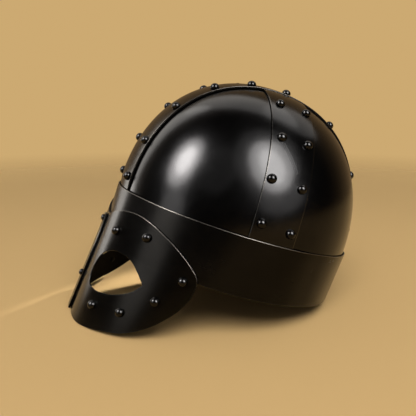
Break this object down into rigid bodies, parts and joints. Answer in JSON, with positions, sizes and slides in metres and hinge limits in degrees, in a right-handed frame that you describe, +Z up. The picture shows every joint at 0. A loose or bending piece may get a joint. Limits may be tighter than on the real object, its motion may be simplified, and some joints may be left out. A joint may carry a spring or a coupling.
{
  "type": "norse iron helmet",
  "caption": "Riveted iron helmet: a domed skull under crest and side bands, with a brow band, a spectacle mask and a nose strip, resting on its mask and nape.",
  "frame": {"origin": "middle of the helmet's bounding box, on the surface that it rests on", "axes": "-Y is the front, +X the wearer's left and +Z up, with the helmet tipped back as it rests on the lower edge of its mask and the foot of its brow band at the nape"},
  "size_m": [0.2324, 0.293, 0.2188],
  "materials": {
    "skull": "glossy blackened, faintly hammered",
    "crest_band": "glossy blackened",
    "lateral_bands": "glossy blackened",
    "brow_band": "satin blackened",
    "spectacle_mask": "satin blackened",
    "nose_strip": "satin blackened",
    "rivets": "glossy blackened"
  },
  "bodies": {
    "root": {"skull": "skull", "crest_band": "crest_band", "lateral_band_left": "lateral_bands", "lateral_band_right": "lateral_bands", "brow_band": "brow_band", "spectacle_mask": "spectacle_mask", "nose_strip": "nose_strip", "crest_rivet_left_01": "rivets", "crest_rivet_left_02": "rivets", "crest_rivet_left_03": "rivets", "crest_rivet_left_04": "rivets", "crest_rivet_left_05": "rivets", "crest_rivet_left_06": "rivets", "crest_rivet_left_07": "rivets", "crest_rivet_left_08": "rivets", "crest_rivet_left_09": "rivets", "crest_rivet_right_01": "rivets", "crest_rivet_right_02": "rivets", "crest_rivet_right_03": "rivets", "crest_rivet_right_04": "rivets", "crest_rivet_right_05": "rivets", "crest_rivet_right_06": "rivets", "crest_rivet_right_07": "rivets", "crest_rivet_right_08": "rivets", "crest_rivet_right_09": "rivets", "lateral_rivet_left_front_1": "rivets", "lateral_rivet_left_front_2": "rivets", "lateral_rivet_left_front_3": "rivets", "lateral_rivet_left_front_4": "rivets", "lateral_rivet_left_rear_1": "rivets", "lateral_rivet_left_rear_2": "rivets", "lateral_rivet_left_rear_3": "rivets", "lateral_rivet_left_rear_4": "rivets", "lateral_rivet_right_front_1": "rivets", "lateral_rivet_right_front_2": "rivets", "lateral_rivet_right_front_3": "rivets", "lateral_rivet_right_front_4": "rivets", "lateral_rivet_right_rear_1": "rivets", "lateral_rivet_right_rear_2": "rivets", "lateral_rivet_right_rear_3": "rivets", "lateral_rivet_right_rear_4": "rivets", "mask_rivet_left_1": "rivets", "mask_rivet_left_2": "rivets", "mask_rivet_left_3": "rivets", "mask_rivet_left_4": "rivets", "mask_rivet_left_5": "rivets", "mask_rivet_left_6": "rivets", "mask_rivet_right_1": "rivets", "mask_rivet_right_2": "rivets", "mask_rivet_right_3": "rivets", "mask_rivet_right_4": "rivets", "mask_rivet_right_5": "rivets", "mask_rivet_right_6": "rivets", "strip_rivet_1": "rivets", "strip_rivet_2": "rivets"}
  },
  "joints": []
}
